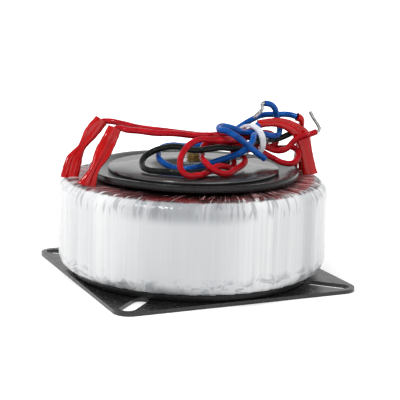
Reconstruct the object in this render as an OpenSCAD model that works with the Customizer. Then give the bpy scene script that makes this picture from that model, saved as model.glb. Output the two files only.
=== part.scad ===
// Toroidal mains transformer on a square, slotted mounting plate, with its five flying leads
// folded into one tied bundle on top. Millimetres, +Z up. The origin is the middle of the
// plate's underside, and X and Y run along the plate's diagonals, through its four slots.

/* [Base plate] */
// Length of the square plate's sides
plate_side = 78; // [74:1:100]
// Thickness of the pressed steel sheet
plate_t = 1.2; // [0.8:0.1:2]
// Radius of the plate's corners
plate_corner_r = 5; // [1:0.5:6]
// Width of the fixing slots
slot_w = 4.8; // [3:0.1:6]
// Length of the fixing slots, end to end
slot_l = 14; // [10:1:18]
// Sheet left between the slots' outer ends and the plate's corners
slot_margin = 1.6; // [1:0.1:4]
// Radius of the flat top of the pressed hollow that hides the bolt's head
hollow_r = 9; // [7:0.5:10]
// Sideways run of the hollow's sloping wall
hollow_slope = 3.5; // [2:0.5:4]

/* [Transformer] */
// Outer diameter over the film wrap
ring_od = 84; // [80:1:96]
// Diameter of the hole through the film wrap
ring_id = 29; // [28:1:32]
// Height over the film wrap
ring_h = 28; // [24:1:40]
// Radius of the ring's rounded edges
ring_edge_r = 4; // [2:0.5:5]
// Thickness of the film wrap
film_t = 0.8; // [0.6:0.1:1.2]
// Height of the step where one turn of film lies over the next
film_step = 0.25; // [0.1:0.05:0.3]
// Number of turns of film
film_turns = 44; // [24:1:60]
// Width of the film
film_w = 20; // [10:1:24]
// Thickness of the printed band under the film
band_t = 0.3; // [0.1:0.1:0.4]
// Height left bare between the printed band and the ring's rounded edges
band_margin = 0.2; // [0.2:0.2:4]

/* [Windings and core] */
// Thickness of the secondary winding on the ring's outer side
secondary_t = 1; // [0.6:0.1:1.6]
// Thickness of the primary winding on the ring's outer side
primary_t = 1.4; // [0.8:0.1:2]
// How many times thicker the windings lie inside the hole than outside
crowding = 2.1; // [1.5:0.1:2.2]
// Thickness of the film between the two windings
interlayer_t = 0.3; // [0.1:0.1:0.5]
// Thickness of the tape round the core
core_tape_t = 0.5; // [0.3:0.1:1]
// Radius of the core's edges
core_edge_r = 1; // [0.5:0.5:2]

/* [Pads and clamp dish] */
// Thickness of each rubber pad
pad_t = 2; // [1:0.5:3]
// Diameter of the upper pad
upper_pad_d = 66; // [60:1:70]
// Diameter of the lower pad
lower_pad_d = 76; // [66:1:76]
// Diameter of the holes through the pads
pad_hole_d = 31; // [30:0.5:34]
// Diameter of the steel clamp dish
dish_d = 53.4; // [48:0.2:60]
// Thickness of the dish's sheet
dish_t = 1; // [0.8:0.1:1.5]
// Depth of the dish's middle below its rim
dish_depth = 4.4; // [3:0.2:5]
// Radius of the dish's flat middle
dish_floor_r = 9.5; // [8:0.5:10]
// Sideways run of the dish's sloping wall
dish_slope = 4; // [3:0.5:4.5]

// Radius of the bends in the dish and the plate's hollow, to the middle of the sheet
bend_r = 1.4; // [1:0.1:1.6]

/* [Bolt, washers and nut] */
// Diameter of the bolt
bolt_d = 5; // [4:0.5:6]
// Length of thread that stands above the nut
bolt_reach = 2.7; // [1:0.1:5]
// Width of the bolt's head and of the nut, across the flats
hex_af = 8; // [7:0.5:10]
// Height of the bolt's head
head_h = 3.5; // [3:0.5:4]
// Room under the bolt's head
head_gap = 0.3; // [0.1:0.1:1]
// Clearance between the bolt and the nut's bore
thread_gap = 0.05; // [0.02:0.01:0.1]
// Height of the nut
nut_h = 4; // [3:0.5:5]
// Outer diameter of the plain washer
washer_d = 10; // [9:0.5:12]
// Thickness of the plain washer
washer_t = 1; // [0.5:0.1:1.5]
// Outer diameter of the spring washer
spring_d = 8.8; // [8:0.2:10]
// Thickness of the spring washer
spring_t = 1.3; // [0.8:0.1:1.6]
// Width of the spring washer's split
split_w = 0.8; // [0.4:0.1:1.5]
// Clearance of the bolt's holes
bolt_gap = 0.25; // [0.1:0.05:0.5]

/* [Leads] */
// Diameter of the leads over their insulation
lead_d = 1.9; // [1.6:0.1:2]
// Clearance between the strands in the cable tie
strand_gap = 0.1; // [0.1:0.1:0.4]
// Diameter of the tinned ends
tin_d = 1.1; // [0.8:0.1:1.4]
// Width of the flattened sleeves
sleeve_w = 4.4; // [3.6:0.1:5]
// Thickness of the flattened sleeves
sleeve_t = 2.2; // [1.8:0.1:2.4]
// Width of the cable tie
tie_w = 2.5; // [2:0.1:3.6]
// Thickness of the cable tie
tie_t = 1; // [0.6:0.1:1.4]
// Clearance between the strands and the tie
tie_gap = 0.2; // [0.1:0.1:0.4]
// Side of the tie's square head
tie_head_w = 4; // [3.6:0.1:5]
// Height of the tie's head
tie_head_h = 3; // [2.5:0.1:4]
// Length of the tie's cut tail beyond its head
tie_tail = 3; // [1:0.5:6]

/* [Hidden] */

// Heights of the stack, from the plate's underside up
hollow_z = head_gap + head_h;
ring_z = plate_t + pad_t;
ring_top = ring_z + ring_h;
dish_z = ring_top + pad_t;
dish_floor_z = dish_z - dish_depth;
washer_z = dish_floor_z + dish_t;
spring_z = washer_z + washer_t;
nut_z = spring_z + spring_t;
bolt_top = nut_z + nut_h + bolt_reach;
band_h = ring_h - 2 * (ring_edge_r + band_margin);

// Radii about the bolt
ring_r = ring_od / 2;
ring_hole_r = ring_id / 2;
bolt_hole_r = bolt_d / 2 + bolt_gap;
hex_r = hex_af / 2 / cos(30);
tip_cut = bolt_d / 10;
plate_tip = plate_side / sqrt(2) - plate_corner_r * (sqrt(2) - 1);
slot_middle = plate_tip - slot_margin - slot_l / 2;
past = 1;

// Depth of each layer's start below the film's skin: outside the ring, on its faces and in
// its hole. A winding crowds together in the hole, and is halfway between on the faces.
function winding(t) = [t, t * (1 + crowding) / 2, t * crowding];
function film(t) = [t, t, t];
band_in = film(film_t);
secondary_in = band_in + [band_t, 0, 0];
interlayer_in = secondary_in + winding(secondary_t);
primary_in = interlayer_in + film(interlayer_t);
tape_in = primary_in + winding(primary_t);
core_in = tape_in + film(core_tape_t);

// The tied bundle: its turn about Z, the middle of the tie's loop, the way that the strands
// run through it, and the two directions across them
harness_turn = 21;
tie_middle = [17.5, 1, 42.4];
tie_way = [cos(232), sin(232), 0];
tie_side = [cos(322), sin(322), 0];
tie_up = [0, 0, 1];
tie_head_turn = 225;
// Nine strands lie round three in the loop
ring_strand_r = 1.6 * (lead_d + strand_gap);
inner_strand_r = 0.6 * (lead_d + strand_gap);
tie_r = ring_strand_r + lead_d / 2 + tie_gap;
function strand(r, a, s) = tie_middle + r * cos(a) * tie_side + r * sin(a) * tie_up + s * tie_way;
function outer(k, s) = strand(ring_strand_r, 40 * k, s);
function inner(k, s) = strand(inner_strand_r, 20 + 120 * k, s);

// Routes of the leads, from the sleeve's mouth to the cut end
red_a_route = [[-28, 5, 47], [-22.5, 3.5, 46.5], [-18.5, 1, 46], [-14, -3, 46], [-9, -6, 46],
               [-2.5, -7, 45.5], [3.5, -6.5, 45], [9, -6.5, 45.5], outer(3, 5), outer(3, -3.5),
               [22, 16, 43], [25, 16, 42.5], [26.5, 14, 41], [25.5, 11.5, 39.5], [22, 9, 40],
               inner(1, -3), inner(1, 4.5), [9.5, -14, 45], [5.5, -15, 45], [2, -15, 45],
               [-1, -17, 44], [-3, -19.5, 42], [-4, -22, 39.5], [-3.5, -23.5, 37],
               [-1.5, -24, 35.5], [1, -23, 35.5], [4, -18, 35.5], [7, -15.5, 37], [12, -9, 36],
               outer(6, 6.5), outer(6, -3), outer(6, -5.5)];
red_b_route = [[-22.7, -10, 47.1], [-20.5, -10.5, 46.7], [-16.5, -11, 46.5], [-12, -11, 46],
               [-6, -11, 46], [0.5, -11, 45.5], [5, -10, 45.5], [9.5, -8, 43.5], outer(4, 5),
               outer(4, -3), [21, 11, 40.5], [24, 13.5, 38.5], [28.5, 13, 38.5], [31.5, 8.5, 39.5],
               [33, 6.5, 38.5], [33, 4.5, 37], [31.5, 3, 35.5], [28.5, 2, 35.5], [24.5, 3.5, 37],
               outer(7, -3), outer(7, 4.5), [15.5, -10, 37.5], [12.5, -14.5, 36], [9, -19, 35.5],
               [5.5, -19.5, 37], [3.5, -17.5, 38.5], [2.5, -10.5, 39.5], [2.5, -8, 41],
               [4.5, -5, 42.5], [8.5, -3, 41.5], [12, -3.5, 41.5], inner(2, 3.5), inner(2, -3.5),
               [28, 5, 39], [32.5, 4.5, 43], [36, 3.5, 44.5], [38.5, 3.5, 45.5]];
blue_a_route = [[20, 6, 47], outer(2, -3), outer(2, 3.5), [13, -7, 47], [10.5, -8.5, 48],
                [8, -10.5, 48.5], [7.5, -14.5, 48], [9.5, -17, 48], [12.5, -17.5, 46.5],
                [16, -14.5, 43.5], [19, -13, 41], [21.5, -11.5, 39]];
blue_b_route = [[33, 15, 48.5], [30.5, 16, 49], [26.5, 15.5, 49], [22, 13.5, 49], [18.5, 10.5, 48],
                [15.5, 8.5, 46.5], [11.5, 3.5, 44.5], [6.5, 2.5, 41.5], [1.5, 5.5, 40],
                [-3, 6, 39.5], [-7, 4, 40], [-10.5, 0, 39.5], [-11, -4, 38], [-10, -8, 37],
                [-7.5, -11, 36], [-4.5, -13, 35.5], [0, -13.5, 36], [4, -12, 37], [7.5, -10.5, 38],
                [11.5, -11, 39.5], [15, -10.5, 41], [17.5, -8.5, 43.5], [18.5, -2.5, 45],
                outer(1, 0), outer(1, -3.5), [25, 5.5, 43.5], [27, 9, 44], [27, 11, 46.5],
                [26, 11, 49.5], [25.5, 10, 51.5], [24, 9, 53], [22, 8, 53.5]];
black_route = [[33, 12, 44.5], [30.5, 10.5, 43.5], [27, 10, 42], [23, 6, 42], outer(0, -2.5),
               outer(0, 3.5), [16, -6, 41], [12, -9, 41.5], [7.5, -11, 42], [3.5, -12, 41.5],
               [-0.5, -10.5, 41], [-5, -8, 41.5], [-10, -5.5, 40.5], [-13.5, -5.5, 39],
               [-15.5, -8, 37.5], [-15.5, -11.5, 36], [-14, -15, 35.5], [-11, -17.5, 35.5],
               [-7, -18, 35.5], [-3, -19, 35.5], [1, -18, 35.5], [5, -13.5, 35.5], [8, -10, 36],
               [10.5, -8.5, 37.5]];

// Bare ends of three of the leads
red_b_bare = [[38.5, 3.5, 45.5], [39, 3.5, 45.7], [39.2, 3.5, 46.4], [38.8, 3.5, 47.4],
              [37.3, 3.5, 49.6], [36, 3.5, 51.8]];
blue_b_bare = [[22, 8, 53.5], [21.6, 7.8, 53.6], [21.1, 7.6, 53], [21.2, 7.5, 51.6],
               [19.8, 7.3, 50], [18.6, 7.3, 48.9]];
black_bare = [[10.5, -8.5, 37.5], [11.5, -8.1, 38.1], [14, -8, 39.3], [16.5, -8, 40]];

// Middle lines of the five sleeves, from the film up to the lead's end of each, the
// direction of their width and how much wider than a plain one they are along the way
red_a_sleeve_path = [[-38, -6, 32], [-37, -4, 36], [-35, -1, 39.5], [-32.5, 2, 43.5],
                     [-29.5, 4.5, 47.2]];
red_b_sleeve_path = [[-31, -20, 32.5], [-29.5, -18, 36], [-27.5, -15, 40], [-25.5, -12, 44],
                     [-24.2, -10.5, 47.1]];
blue_a_sleeve_path = [[37, 8, 32.5], [36, 8, 37], [35, 8, 41], [33, 8, 44.5], [30, 8, 46.5],
                      [26.5, 7.5, 47.5], [23, 6.5, 47.5], [20, 6, 47]];
blue_b_sleeve_path = [[33.5, 20, 32.5], [34, 18.5, 38], [34.5, 17, 44], [34.5, 15.5, 47.5],
                      [33, 15, 48.5]];
black_sleeve_path = [[36.5, 15, 32.5], [36, 14, 37], [35.5, 13, 41], [34.5, 12.5, 43.5],
                     [33, 12, 44.5]];

// ---- Shapes that repeat ----

// Section of a ring with four rounded edges, between two radii and two heights
module rounded_section(r1, r2, z1, z2, edge) {
  translate([r1 + edge, z1]) square([r2 - r1 - 2 * edge, z2 - z1]);
  translate([r1, z1 + edge]) square([r2 - r1, z2 - z1 - 2 * edge]);
  for (r = [r1 + edge, r2 - edge], z = [z1 + edge, z2 - edge])
    translate([r, z]) circle(edge, $fn = 32);
}

// Section of the ring, below a layer's depth under the film's skin
module ring_section(depth) {
  edge = max(ring_edge_r - depth[0], core_edge_r);
  rounded_section(ring_hole_r + depth[2], ring_r - depth[0], ring_z + depth[1],
                  ring_top - depth[1], edge);
}

// Layer of the ring between two depths
module ring_layer(outside, inside) {
  rotate_extrude($fn = 96) difference() {
    ring_section(outside);
    ring_section(inside);
  }
}

module flat_ring(r_hole, r, z, t) {
  translate([0, 0, z]) difference() {
    cylinder(r = r, h = t, $fn = 96);
    translate([0, 0, -past]) cylinder(r = r_hole, h = t + 2 * past, $fn = 96);
  }
}

// Round sheet of even thickness with its flat middle pressed up or down from its rim.
// floor_z and rim_z are the heights of the middle's and the rim's underside.
module pressed_middle(r_hole, r_floor, slope, floor_z, rim_z, r_rim, t) {
  up = rim_z > floor_z ? 1 : -1;
  lean = atan2(abs(rim_z - floor_z), slope);
  tangent = bend_r * tan(lean / 2);
  function inner_bend(off) = [for (a = [0:lean / 4:lean]) let (r = bend_r - up * off)
    [r_floor - tangent + r * sin(a), floor_z + t / 2 + up * (bend_r - r * cos(a))]];
  function outer_bend(off) = [for (a = [lean:-lean / 4:0]) let (r = bend_r + up * off)
    [r_floor + slope + tangent - r * sin(a), rim_z + t / 2 - up * (bend_r - r * cos(a))]];
  function face(off) = concat([[r_hole, floor_z + t / 2 + off]], inner_bend(off),
    outer_bend(off), [[r_rim, rim_z + t / 2 + off]]);
  underside = face(-t / 2);
  rotate_extrude($fn = 96) polygon(concat(face(t / 2),
    [for (i = [len(underside) - 1:-1:0]) underside[i]]));
}

// Hexagon with its corners turned off at 30 degrees, at one end or at both
module hexagon(h, both_ends) {
  cut = hex_r - hex_af / 2;
  low = both_ends ? cut * tan(30) : 0;
  intersection() {
    cylinder(r = hex_r, h = h, $fn = 6);
    rotate_extrude($fn = 64) polygon([[0, 0], [hex_r - (both_ends ? cut : 0), 0],
      [hex_r, low], [hex_r, h - cut * tan(30)], [hex_r - cut, h], [0, h]]);
  }
}

// ---- Swept shapes ----

function unit(v) = v / norm(v);
// Direction of a route at one of its points
function heading(p, i) = unit(p[min(i + 1, len(p) - 1)] - p[max(i - 1, 0)]);
function square_to(v, t) = unit(v - (v * t) * t);
// A direction across the route at each point, carried along without twist
function carried(p) = [for (i = 0, n = square_to([0.1, 0.2, 1], heading(p, 0)); i < len(p);
  i = i + 1, n = i < len(p) ? square_to(n, heading(p, i)) : n) n];

// Closed skin over a row of rings that have the same number of points. The row has two flat
// ends, or it is round and its last ring meets its first.
module skin(rings, round = false) {
  n = len(rings[0]);
  last = len(rings) - 1;
  points = [for (ring = rings) for (q = ring) q];
  sides = [for (i = [0:round ? last : last - 1], k = [0:n - 1]) let (j = (i + 1) % (last + 1))
    [i * n + k, i * n + (k + 1) % n, j * n + (k + 1) % n, j * n + k]];
  ends = round ? [] : [[for (k = [n - 1:-1:0]) k], [for (k = [0:n - 1]) last * n + k]];
  polyhedron(points, concat(sides, ends));
}

// Round tube along a route
module lead(route, d) {
  across = carried(route);
  skin([for (i = [0:len(route) - 1]) let (t = heading(route, i), a = across[i], b = cross(t, a))
    [for (k = [0:7]) route[i] + d / 2 * (cos(45 * k) * b + sin(45 * k) * a)]]);
}

// Flattened sleeve along a path: wide is the way that its width points, and spread gives its
// width at each point as a share of a plain one's
module sleeve(path, wide, spread) {
  skin([for (i = [0:len(path) - 1]) let (t = heading(path, i), a = square_to(wide, t), b = cross(t, a))
    [for (k = [0:11]) path[i] + sleeve_w / 2 * spread[i] * cos(30 * k) * a
                      - sleeve_t / 2 * sin(30 * k) * b]]);
}

module in_harness() {
  rotate([0, 0, harness_turn]) children();
}

// ---- Plate ----

// Square sheet with its corners on the axes, a slot at each, and a hollow pressed up in the
// middle, where the bolt's head lies above the floor
module base_plate() {
  r_rim = hollow_r + hollow_slope + bend_r;
  color("#303030") {
    pressed_middle(bolt_hole_r, hollow_r, hollow_slope, hollow_z, 0, r_rim, plate_t);
    difference() {
      rotate([0, 0, 45]) linear_extrude(plate_t) rounded_square();
      translate([0, 0, -past]) cylinder(r = r_rim, h = plate_t + 2 * past, $fn = 96);
      for (a = [0:90:270]) rotate([0, 0, a]) slot_cutter();
    }
  }
}

module rounded_square() {
  inner_side = plate_side - 2 * plate_corner_r;
  square([plate_side, inner_side], center = true);
  square([inner_side, plate_side], center = true);
  for (x = [-1, 1], y = [-1, 1])
    translate([x, y] * inner_side / 2) circle(plate_corner_r, $fn = 48);
}

module slot_cutter() {
  straight = slot_l - slot_w;
  translate([slot_middle, 0, -past]) {
    for (x = [-1, 1])
      translate([x * straight / 2, 0, 0]) cylinder(d = slot_w, h = plate_t + 2 * past, $fn = 48);
    translate([-straight / 2, -slot_w / 2, 0]) cube([straight, slot_w, plate_t + 2 * past]);
  }
}

// ---- Ring, from the inside out ----

module core() {
  color("dimgray") rotate_extrude($fn = 96) ring_section(core_in);
}

module core_tape() {
  color("khaki") ring_layer(tape_in, core_in);
}

module primary_winding() {
  color("chocolate") ring_layer(primary_in, tape_in);
}

module interlayer_film() {
  color("lightyellow") ring_layer(interlayer_in, primary_in);
}

module secondary_winding() {
  color("sienna") ring_layer(secondary_in, interlayer_in);
}

module printed_band() {
  r = ring_r - film_t;
  z = ring_z + (ring_h - band_h) / 2;
  color("gainsboro") flat_ring(r - band_t, r, z, band_h);
}

// Clear film laid round the ring turn over turn. Each turn's edge runs parallel to the
// radius along the turn's middle, and the skin drops by a step beyond it.
module film_wrap() {
  color("whitesmoke") difference() {
    skin([for (turn = [0:film_turns - 1], foot = [0, 1]) film_line(turn, foot)], round = true);
    rotate_extrude($fn = 96) ring_section(band_in);
  }
}

// Section line of the film along one turn's edge, at its crest or at the foot of its step
function film_line(turn, foot) = [for (q = film_section()) let (
  r = q[0] - foot * film_step * q[2], z = q[1] - foot * film_step * q[3],
  a = 360 / film_turns * (turn + 0.15 * foot) + asin(film_w / 2 / q[0]))
  [r * cos(a), r * sin(a), z]];

// Points round the film's skin, each with its outward direction
function film_section() = let (e = ring_edge_r, r1 = ring_hole_r + e, r2 = ring_r - e,
  z1 = ring_z + e, z2 = ring_top - e) concat(
  [for (a = [0:22.5:90]) [r2 + e * cos(a), z2 + e * sin(a), cos(a), sin(a)]],
  [for (s = [0.25:0.25:0.75]) [r2 + s * (r1 - r2), ring_top, 0, 1]],
  [for (a = [90:22.5:180]) [r1 + e * cos(a), z2 + e * sin(a), cos(a), sin(a)]],
  [for (a = [180:22.5:270]) [r1 + e * cos(a), z1 + e * sin(a), cos(a), sin(a)]],
  [for (s = [0.25:0.25:0.75]) [r1 + s * (r2 - r1), ring_z, 0, -1]],
  [for (a = [270:22.5:360]) [r2 + e * cos(a), z1 + e * sin(a), cos(a), sin(a)]]);

// ---- Clamp ----

module lower_pad() {
  color("#262626") flat_ring(pad_hole_d / 2, lower_pad_d / 2, plate_t, pad_t);
}

module upper_pad() {
  color("#262626") flat_ring(pad_hole_d / 2, upper_pad_d / 2, ring_top, pad_t);
}

module clamp_dish() {
  color("#303030")
    pressed_middle(bolt_hole_r, dish_floor_r, dish_slope, dish_floor_z, dish_z, dish_d / 2, dish_t);
}

module centre_bolt() {
  color("gold") {
    translate([0, 0, head_gap + head_h]) mirror([0, 0, 1]) hexagon(head_h, false);
    translate([0, 0, hollow_z]) cylinder(d = bolt_d, h = bolt_top - hollow_z - tip_cut, $fn = 48);
    translate([0, 0, bolt_top - tip_cut])
      cylinder(r1 = bolt_d / 2, r2 = bolt_d / 2 - tip_cut, h = tip_cut, $fn = 48);
  }
}

module plain_washer() {
  color("silver") flat_ring(bolt_hole_r, washer_d / 2, washer_z, washer_t);
}

module spring_washer() {
  split = asin(split_w / spring_d);
  color("lightgray") rotate([0, 0, split - 90]) rotate_extrude(angle = 360 - 2 * split, $fn = 96)
    translate([bolt_hole_r, spring_z]) square([spring_d / 2 - bolt_hole_r, spring_t]);
}

module hex_nut() {
  color("silver") translate([0, 0, nut_z]) difference() {
    hexagon(nut_h, true);
    translate([0, 0, -past]) cylinder(r = bolt_d / 2 + thread_gap, h = nut_h + 2 * past, $fn = 48);
  }
}

// ---- Leads ----

module red_lead_a() {
  color("firebrick") in_harness() lead(red_a_route, lead_d);
}

module red_lead_b() {
  color("firebrick") in_harness() lead(red_b_route, lead_d);
}

module blue_lead_a() {
  color("royalblue") in_harness() lead(blue_a_route, lead_d);
}

module blue_lead_b() {
  color("royalblue") in_harness() lead(blue_b_route, lead_d);
}

module black_lead() {
  color("#2d3330") in_harness() lead(black_route, lead_d);
}

module red_b_tip() {
  color("lightgray") in_harness() lead(red_b_bare, tin_d);
}

module blue_b_tip() {
  color("lightgray") in_harness() lead(blue_b_bare, tin_d);
}

module black_tip() {
  color("lightgray") in_harness() lead(black_bare, tin_d);
}

module red_a_sleeve() {
  color("red") in_harness() sleeve(red_a_sleeve_path, [0.9, 0.1, -0.4], [1.1, 1.1, 0.6, 1, 1]);
}

module red_b_sleeve() {
  color("red") in_harness() sleeve(red_b_sleeve_path, [0.9, 0.1, -0.4], [1.2, 1.1, 1, 1, 1]);
}

module blue_a_sleeve() {
  color("red") in_harness() sleeve(blue_a_sleeve_path, [0.7, 0.3, 0.7], [1.1, 1, 1, 1, 0.85, 0.7, 0.6, 0.6]);
}

module blue_b_sleeve() {
  color("red") in_harness() sleeve(blue_b_sleeve_path, [0, 1, 0.2], [1.1, 1, 1, 1, 0.8]);
}

module black_sleeve() {
  color("red") in_harness() sleeve(black_sleeve_path, [1, 0, 0.2], [1.1, 1, 1, 1, 0.8]);
}

// Band round the bundle, with its square head underneath at the back, and the cut end of the
// strap just past the head
module cable_tie() {
  r = tie_r + tie_t;
  color("whitesmoke") in_harness() translate(tie_middle) rotate([90, 0, 322]) {
    difference() {
      union() {
        cylinder(r = r, h = tie_w, center = true, $fn = 64);
        rotate([0, 0, tie_head_turn]) translate([r + tie_head_h / 2 - tie_t, 0, 0])
          cube([tie_head_h, tie_head_w, tie_head_w], center = true);
        rotate([0, 0, tie_head_turn]) translate([r + tie_head_h - tie_t, -tie_t / 2, -tie_w / 2])
          cube([tie_tail, tie_t, tie_w]);
      }
      cylinder(r = tie_r, h = tie_head_w + 2 * past, center = true, $fn = 64);
    }
  }
}

base_plate();
lower_pad();
core();
core_tape();
primary_winding();
interlayer_film();
secondary_winding();
printed_band();
film_wrap();
upper_pad();
clamp_dish();
centre_bolt();
plain_washer();
spring_washer();
hex_nut();
red_lead_a();
red_lead_b();
blue_lead_a();
blue_lead_b();
black_lead();
red_a_sleeve();
red_b_sleeve();
blue_a_sleeve();
blue_b_sleeve();
black_sleeve();
red_b_tip();
blue_b_tip();
black_tip();
cable_tie();
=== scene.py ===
# Toroidal mains transformer on a slotted plate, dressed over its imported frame. Metres.
import math

import bmesh
import bpy
from mathutils import Matrix, Vector, noise


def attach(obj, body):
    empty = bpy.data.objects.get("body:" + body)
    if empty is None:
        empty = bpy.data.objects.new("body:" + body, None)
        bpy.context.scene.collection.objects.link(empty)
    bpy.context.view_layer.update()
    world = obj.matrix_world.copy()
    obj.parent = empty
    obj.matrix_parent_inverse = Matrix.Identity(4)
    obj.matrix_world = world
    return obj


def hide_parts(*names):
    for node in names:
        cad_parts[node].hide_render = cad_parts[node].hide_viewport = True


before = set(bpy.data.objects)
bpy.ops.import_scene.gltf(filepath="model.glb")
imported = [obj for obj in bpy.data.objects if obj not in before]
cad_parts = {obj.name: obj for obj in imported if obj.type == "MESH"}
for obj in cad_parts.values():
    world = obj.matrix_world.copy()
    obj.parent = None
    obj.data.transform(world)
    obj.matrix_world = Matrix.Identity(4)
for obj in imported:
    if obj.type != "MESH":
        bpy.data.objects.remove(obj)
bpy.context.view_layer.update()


# ---- Camera ----
# It stands 0.39 m from the plate, turned 21 degrees from the plate's diagonal, and looks down
# by 12 degrees with a slight roll.
MM = 0.001
HARNESS_TURN = Matrix.Rotation(math.radians(21), 4, "Z")
yaw, pitch, roll = 0.006, 0.205, 0.025
forward = Vector((math.sin(yaw) * math.cos(pitch), math.cos(yaw) * math.cos(pitch), -math.sin(pitch)))
level_right = Vector((math.cos(yaw), -math.sin(yaw), 0))
level_up = level_right.cross(forward)
right = level_right * math.cos(roll) + level_up * math.sin(roll)
up = level_up * math.cos(roll) - level_right * math.sin(roll)
camera_data = bpy.data.cameras.new("camera")
camera_data.lens = 109.2
camera_data.sensor_width = 36
camera = bpy.data.objects.new("camera", camera_data)
axes = Matrix((right, up, -forward)).transposed().to_4x4()
place = Matrix.Translation(Vector((0, -374.35, 101.21)) * MM)
camera.matrix_world = HARNESS_TURN @ place @ axes
bpy.context.scene.collection.objects.link(camera)
bpy.context.scene.camera = camera


# ---- Floor, world and lamps ----
# A plain white floor that shows white to the camera and in reflections and keeps the shadow
# under the plate. The white world is dimmer overhead, in reflections only, and three soft
# lamps hang round the object.
def linear(r, g, b):
    """Colour written as 0 to 255 display values, as the linear values that a shader takes."""
    def one(value):
        value /= 255
        return value / 12.92 if value <= 0.04045 else ((value + 0.055) / 1.055) ** 2.4
    return (one(r), one(g), one(b), 1)


class Nodes:
    """A new material and short ways to add and join its nodes."""

    def __init__(self, name):
        self.material = bpy.data.materials.new(name)
        self.material.use_nodes = True
        self.tree = self.material.node_tree
        self.shader = self.tree.nodes["Principled BSDF"]
        self.output = self.tree.nodes["Material Output"]

    def add(self, kind, **settings):
        node = self.tree.nodes.new(kind)
        for key, value in settings.items():
            setattr(node, key, value)
        return node

    def join(self, source, target):
        self.tree.links.new(source, target)

    def set(self, **values):
        for key, value in values.items():
            self.shader.inputs[key.replace("_", " ")].default_value = value

    def place(self, scale=(1, 1, 1), source="Object"):
        """Coordinates of the piece, in millimetres for Object, stretched by scale."""
        unit = 1000 if source == "Object" else 1
        mapping = self.add("ShaderNodeMapping")
        mapping.inputs["Scale"].default_value = [unit * s for s in scale]
        self.join(self.add("ShaderNodeTexCoord").outputs[source], mapping.inputs["Vector"])
        return mapping.outputs[0]

    def noise(self, vector, scale, detail=3, roughness=0.5, distortion=0):
        node = self.add("ShaderNodeTexNoise")
        node.inputs["Scale"].default_value = scale
        node.inputs["Detail"].default_value = detail
        node.inputs["Roughness"].default_value = roughness
        node.inputs["Distortion"].default_value = distortion
        self.join(vector, node.inputs["Vector"])
        return node.outputs["Fac"]

    def ramp(self, source, *stops):
        node = self.add("ShaderNodeValToRGB")
        elements = node.color_ramp.elements
        while len(elements) < len(stops):
            elements.new(0.5)
        for element, (position, colour) in zip(elements, stops):
            element.position = position
            element.color = colour if len(colour) == 4 else (*colour, 1)
        self.join(source, node.inputs["Fac"])
        return node.outputs["Color"]

    def grey(self, source, *stops):
        return self.ramp(source, *((position, (v, v, v, 1)) for position, v in stops))

    def mix(self, factor, first, second, blend="MIX"):
        node = self.add("ShaderNodeMix", data_type="RGBA", blend_type=blend)
        for socket, value in zip((node.inputs["Factor"], node.inputs[6], node.inputs[7]),
                                 (factor, first, second)):
            if isinstance(value, (int, float, tuple)):
                socket.default_value = value
            else:
                self.join(value, socket)
        return node.outputs[2]

    def maths(self, operation, first, second=0.0, third=0.0):
        node = self.add("ShaderNodeMath", operation=operation)
        for socket, value in zip(node.inputs, (first, second, third)):
            if isinstance(value, (int, float)):
                socket.default_value = value
            else:
                self.join(value, socket)
        return node.outputs[0]

    def bump(self, height, distance_mm, strength=1.0):
        node = self.add("ShaderNodeBump")
        node.inputs["Distance"].default_value = distance_mm * MM
        node.inputs["Strength"].default_value = strength
        self.join(height, node.inputs["Height"])
        self.join(node.outputs[0], self.shader.inputs["Normal"])


def shows_white(nodes):
    """Factor that is 1 for the rays of the camera and of reflections, and 0 for light."""
    path = nodes.add("ShaderNodeLightPath")
    seen = nodes.maths("MAXIMUM", path.outputs["Is Camera Ray"], path.outputs["Is Glossy Ray"])
    return nodes.maths("MAXIMUM", seen, path.outputs["Is Transmission Ray"])


floor_nodes = Nodes("white_floor")
floor_nodes.set(Base_Color=(0.8, 0.8, 0.8, 1), Roughness=1.0, Specular_IOR_Level=0.0)
away = floor_nodes.add("ShaderNodeVectorMath", operation="LENGTH")
floor_nodes.join(floor_nodes.add("ShaderNodeTexCoord").outputs["Object"], away.inputs[0])
rise = floor_nodes.add("ShaderNodeMapRange")
for socket, value in (("From Min", 0.07), ("From Max", 0.25), ("To Min", 0.35), ("To Max", 1.0)):
    rise.inputs[socket].default_value = value
floor_nodes.join(away.outputs["Value"], rise.inputs["Value"])
glow = floor_nodes.maths("MULTIPLY", shows_white(floor_nodes), rise.outputs[0])
floor_nodes.shader.inputs["Emission Color"].default_value = (1, 1, 1, 1)
floor_nodes.join(glow, floor_nodes.shader.inputs["Emission Strength"])
floor_mesh = bmesh.new()
bmesh.ops.create_grid(floor_mesh, x_segments=1, y_segments=1, size=3)
floor_data = bpy.data.meshes.new("floor")
floor_mesh.to_mesh(floor_data)
floor_mesh.free()
floor = bpy.data.objects.new("floor", floor_data)
floor_data.materials.append(floor_nodes.material)
bpy.context.scene.collection.objects.link(floor)

world = bpy.data.worlds.new("white_room")
world.use_nodes = True
bpy.context.scene.world = world
sky = world.node_tree.nodes["Background"]
sky.inputs["Color"].default_value = (1, 1, 1, 1)


def world_node(kind, operation=None, **values):
    node = world.node_tree.nodes.new(kind)
    if operation:
        node.operation = operation
    for key, value in values.items():
        node.inputs[key.replace("_", " ")].default_value = value
    return node


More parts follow.
